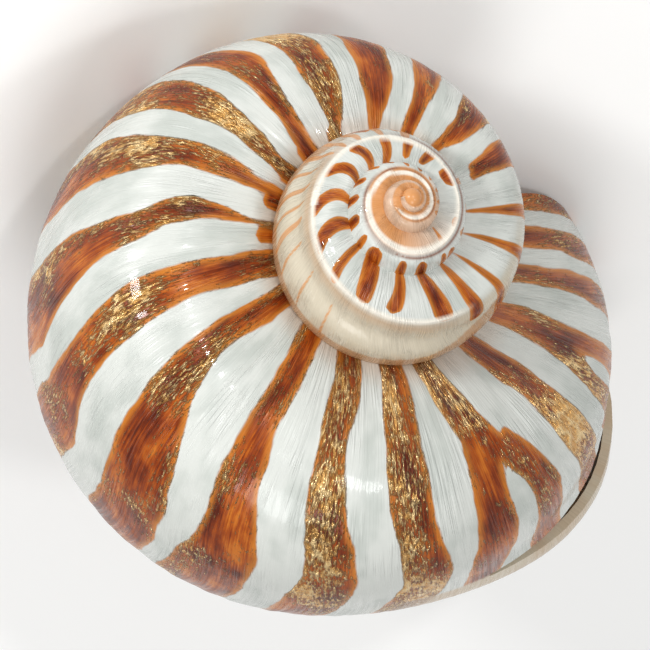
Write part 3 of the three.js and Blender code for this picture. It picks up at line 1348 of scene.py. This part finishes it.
@dataclass(frozen=True)
class Finish:
    """What every finish of the shell has in common.

    Args:
        name: Name of the material.
        effects: The shared effects.
    """

    name: str
    effects: Effects

    def start(self) -> tuple[bpy.types.Material, Graph, bpy.types.Node]:
        """Makes the material.

        Returns:
            It, its graph and its shader.
        """
        material = bpy.data.materials.new(self.name)
        material.use_nodes = True
        material.node_tree.nodes.clear()
        graph = Graph(material.node_tree)
        shader = graph.add("ShaderNodeBsdfPrincipled")
        sink = graph.add("ShaderNodeOutputMaterial")
        graph.feed(sink.inputs["Surface"], shader.outputs[0])
        return material, graph, shader

    @staticmethod
    def use(graph: Graph, tree: bpy.types.NodeTree, **sources: Source) -> bpy.types.Node:
        """Places a group in a material.

        Args:
            graph: The material's graph.
            tree: The group.
            sources: What feeds each of its inputs, by name.

        Returns:
            The group's node.
        """
        node = graph.add("ShaderNodeGroup", node_tree=tree)
        for name, source in sources.items():
            graph.feed(node.inputs[name], source)
        return node

    @staticmethod
    def bump(
        graph: Graph,
        height: bpy.types.NodeSocket,
        strength: float,
        distance: float,
        under: bpy.types.NodeSocket | None = None,
    ) -> bpy.types.NodeSocket:
        """Adds a bump.

        Args:
            graph: The material's graph.
            height: Its height, from 0 to 1.
            strength: Its strength.
            distance: What a height of 1 stands for, in metres.
            under: The normal of an earlier bump, if there is one.

        Returns:
            The bumped normal.
        """
        node = graph.add("ShaderNodeBump")
        node.inputs["Strength"].default_value = strength
        node.inputs["Distance"].default_value = distance
        graph.feed(node.inputs["Height"], height)
        if under is not None:
            graph.feed(node.inputs["Normal"], under)
        return node.outputs["Normal"]


@dataclass(frozen=True)
class BandedFinish(Finish):
    """The polished outside: white nacre, brown bands with gold in them, cream and peach, with painted
    shade on the wall and along the seams.
    """

    nacre: Colour = (0.62, 0.635, 0.600)
    shade: Colour = (0.50, 0.525, 0.490)
    # cream of the wall under the shoulder, darkened as painted shade
    shaded_cream: Colour = (0.56, 0.49, 0.37)
    # brownish painted shade for the seams and under the shoulder
    tan: Colour = (0.42, 0.20, 0.07)
    seam: Colour = (0.20, 0.055, 0.015)
    rim: Colour = (0.82, 0.77, 0.68)
    flange: Colour = (0.52, 0.40, 0.27)
    peach: Colour = (0.66, 0.34, 0.16)
    amber: Colour = (0.56, 0.25, 0.08)
    gold: Colour = (0.80, 0.45, 0.15)
    # paler gold on the crinkles: partly the foil's own grain, partly painted glints
    grain_and_glint_gold: Colour = (0.98, 0.72, 0.38)

    def build(self) -> bpy.types.Material:
        """Builds the finish.

        Returns:
            The material.
        """
        material, g, shader = self.start()
        place = g.attribute("growth_mm", "Vector")
        growth = self.use(g, self.effects.growth, Place=place, Pitch=0.55)
        # white nacre, cooler and greyer in cloudy patches and between the threads
        cloud = g.noise(g.stretch(place, 0.11, 0.08), 3.0, 0.6)
        base = g.mix(g.spread(cloud, 0.42, 0.68), self.nacre, self.shade)
        threads = g.math("MULTIPLY", growth.outputs["Threads"], 0.10)
        base = g.mix(threads, base, self.shade)
        # cream wall below the spire's shoulder, its cream darkened as painted shade under the overhang
        wall = g.attribute("wall")
        base = g.mix(g.math("MULTIPLY", wall, 0.85), base, self.shaded_cream)
        # painted shade, brownish, along the seams and under the shoulder
        base = g.mix(g.attribute("foot"), base, self.tan)
        # side lines, soft amber
        line = self.use(
            g, self.effects.edge, Distance=g.attribute("line_mm"), Place=place, Wander=0.35, Feather=0.16
        )
        young = g.attribute("young")
        inked = g.math("MULTIPLY", line.outputs["Inside"], young)
        base = g.mix(g.math("MULTIPLY", inked, 0.75), base, self.amber)
        # bands and bars
        band = self.use(
            g,
            self.effects.edge,
            Distance=g.attribute("band_mm"),
            Place=place,
            Wander=g.spread(young, 0.0, 1.0, (1.1, 0.5)),
            Feather=0.17,
        )
        tone = self.use(
            g,
            self.effects.pigment,
            Place=place,
            Fringe=g.math("MULTIPLY", band.outputs["Fringe"], 0.75),
            Depth=0.5,
        )
        base = g.mix(band.outputs["Inside"], base, tone.outputs["Colour"])
        # bare flange below the slit, beige like the lining
        bare = g.mix(g.spread(cloud, 0.35, 0.7), self.flange, self.shaded_cream)
        base = g.mix(g.attribute("flange"), base, bare)
        # peach first whorls, white thread and brown seam
        peach = g.attribute("peach")
        base = g.mix(peach, base, g.mix(cloud, self.peach, self.amber))
        base = g.mix(g.math("MULTIPLY", g.attribute("seam"), 0.85), base, self.seam)
        base = g.mix(g.attribute("thread"), base, self.rim)
        # gold leaf; the paler gold on its crinkles is partly the foil's own grain, partly painted glints
        leaf = self.use(g, self.effects.leaf, Place=place, Cover=g.attribute("gold"))
        old = g.math("SUBTRACT", g.math("SUBTRACT", 1.0, young), g.attribute("flange"), clamp=True)
        gilt = g.math("MULTIPLY", leaf.outputs["Leaf"], band.outputs["Inside"])
        gilt = g.math("MULTIPLY", gilt, old)
        grain_and_glint = g.spread(leaf.outputs["Crinkle"], 0.45, 1.0)
        base = g.mix(gilt, base, g.mix(grain_and_glint, self.gold, self.grain_and_glint_gold))
        g.feed(shader.inputs["Base Color"], base)
        g.feed(shader.inputs["Metallic"], g.math("MULTIPLY", gilt, 0.72))
        rough = g.spread(growth.outputs["Threads"], 0.0, 1.0, (0.24, 0.36))
        g.feed(shader.inputs["Roughness"], g.math("ADD", rough, g.math("MULTIPLY", gilt, -0.02)))
        shader.inputs["Coat Weight"].default_value = 0.16
        shader.inputs["Coat Roughness"].default_value = 0.05
        shader.inputs["Specular IOR Level"].default_value = 0.42
        ribbed = g.math("SUBTRACT", 1.0, g.attribute("flange"), clamp=True)
        fine = self.bump(g, g.math("MULTIPLY", growth.outputs["Height"], ribbed), 0.6, 0.00016)
        crinkle = g.math("MULTIPLY", leaf.outputs["Crinkle"], gilt)
        g.feed(shader.inputs["Normal"], self.bump(g, crinkle, 1.0, 0.0007, fine))
        return material


@dataclass(frozen=True)
class LiningFinish(Finish):
    """The smooth beige lining of the mouth, with the bands showing faintly through it."""

    lining: Colour = (0.50, 0.37, 0.24)
    pale: Colour = (0.72, 0.66, 0.57)
    show_through: Colour = (0.36, 0.20, 0.10)

    def build(self) -> bpy.types.Material:
        """Builds the finish.

        Returns:
            The material.
        """
        material, g, shader = self.start()
        place = g.attribute("growth_mm", "Vector")
        cloud = g.noise(g.stretch(place, 0.14, 0.10), 3.0, 0.6)
        base = g.mix(g.spread(cloud, 0.35, 0.7), self.lining, self.pale)
        band = self.use(
            g, self.effects.edge, Distance=g.attribute("band_mm"), Place=place, Wander=1.2, Feather=0.5
        )
        base = g.mix(g.math("MULTIPLY", band.outputs["Inside"], 0.30), base, self.show_through)
        g.feed(shader.inputs["Base Color"], base)
        shader.inputs["Roughness"].default_value = 0.28
        shader.inputs["Coat Weight"].default_value = 0.4
        shader.inputs["Coat Roughness"].default_value = 0.15
        growth = self.use(g, self.effects.growth, Place=place, Pitch=1.1)
        g.feed(shader.inputs["Normal"], self.bump(g, growth.outputs["Height"], 0.3, 0.0001))
        return material


# ---- the studio -------------------------------------------------------------------------------


class Lamp(Enum):
    """Each soft light: steps right, up and towards the camera in m, watts, and width in m."""

    KEY = ((-0.40, 0.16, 0.60), 2.3, 0.11)
    SPARK = ((0.20, 0.12, 0.70), 0.8, 0.04)
    FILL = ((0.50, -0.30, 0.62), 0.8, 0.12)
    TOP = ((0.05, -0.62, 0.45), 1.6, 0.3)


@dataclass
class Studio:
    """Pale floor, soft light and the camera.

    Args:
        lie: How the shell lies, since the camera is placed in the coil's frame.
        station: Where the camera stands, mm.
        right: Its right.
        up: Its up.
        field_degrees: Its field of view.
        floor_half: Half the width of the floor, m.
        aim_height: Height above the floor that the lights are aimed at, m.
        sky_strength: Strength of the even light from all round.
    """

    lie: Lie
    station: tuple[float, float, float] = (-219.4, -170.8, 560.7)
    right: tuple[float, float, float] = (0.9413, -0.0436, 0.3350)
    up: tuple[float, float, float] = (-0.0437, 0.9676, 0.2488)
    field_degrees: float = 7.40
    floor_half: float = 6.0
    aim_height: float = 0.03
    sky_strength: float = 0.40

    def axes(self) -> np.ndarray:
        """The camera's directions on the table.

        Returns:
            Right, up and backward, in columns.
        """
        right, up = np.array(self.right), np.array(self.up)
        right = right / np.linalg.norm(right)
        up = up - right * (up @ right)
        up = up / np.linalg.norm(up)
        return self.lie.turned() @ np.stack([right, up, np.cross(right, up)], axis=1)

    def camera(self) -> bpy.types.Object:
        """Places the camera, which looks down at the spire.

        Returns:
            The camera.
        """
        data = bpy.data.cameras.new("camera")
        data.sensor_width = 36.0
        data.lens = 18.0 / math.tan(math.radians(self.field_degrees) / 2.0)
        data.clip_end = 100.0
        made = bpy.data.objects.new("camera", data)
        axes = self.axes()
        spot = self.lie.place(np.array(self.station))
        made.matrix_world = Matrix.LocRotScale(
            Vector(spot), Matrix(axes.tolist()).to_quaternion(), None
        )
        bpy.context.scene.collection.objects.link(made)
        bpy.context.scene.camera = made
        return made

    def floor(self) -> bpy.types.Object:
        """Lays a plain pale floor.

        Returns:
            The floor.
        """
        h = self.floor_half
        mesh = bpy.data.meshes.new("floor")
        mesh.from_pydata([(-h, -h, 0), (h, -h, 0), (h, h, 0), (-h, h, 0)], [], [(0, 1, 2, 3)])
        made = bpy.data.objects.new("floor", mesh)
        material = bpy.data.materials.new("pale_floor")
        material.use_nodes = True
        shader = material.node_tree.nodes["Principled BSDF"]
        shader.inputs["Base Color"].default_value = (0.90, 0.90, 0.89, 1.0)
        shader.inputs["Roughness"].default_value = 0.7
        mesh.materials.append(material)
        bpy.context.scene.collection.objects.link(made)
        return made

    def light(self, lamp: Lamp) -> bpy.types.Object:
        """Hangs a square softbox aimed at the middle of the shell.

        Args:
            lamp: Which one.

        Returns:
            The light.
        """
        place, power, width = lamp.value
        name = lamp.name.lower()
        centre = np.array([0.0, 0.0, self.aim_height])
        spot = centre + self.axes() @ np.array(place)
        data = bpy.data.lights.new(name, "AREA")
        data.energy, data.size, data.shape = power, width, "SQUARE"
        made = bpy.data.objects.new(name, data)
        made.location = Vector(spot)
        made.rotation_mode = "QUATERNION"
        made.rotation_quaternion = Vector(spot - centre).to_track_quat("Z", "Y")
        bpy.context.scene.collection.objects.link(made)
        return made

    def sky(self) -> None:
        """Even white light from all round."""
        world = bpy.data.worlds.new("studio")
        world.use_nodes = True
        background = world.node_tree.nodes["Background"]
        background.inputs["Color"].default_value = (1.0, 1.0, 1.0, 1.0)
        background.inputs["Strength"].default_value = self.sky_strength
        bpy.context.scene.world = world

    def build(self) -> None:
        """Sets the whole studio up."""
        self.floor()
        for lamp in Lamp:
            self.light(lamp)
        self.sky()
        self.camera()
        view = bpy.context.scene.view_settings
        view.view_transform, view.look = "Standard", "Medium High Contrast"


def main() -> None:
    """Builds the shell, its finish and the studio, and notes the sizes."""
    logging.basicConfig(level=logging.INFO, format="%(name)s: %(message)s")
    shell = SeaShell()
    body = shell.build()
    shell.dress(body, Effects())
    LOG.info("%s: %d faces", body.name, len(body.data.polygons))
    Studio(shell.lie).build()


if __name__ == "__main__":
    main()
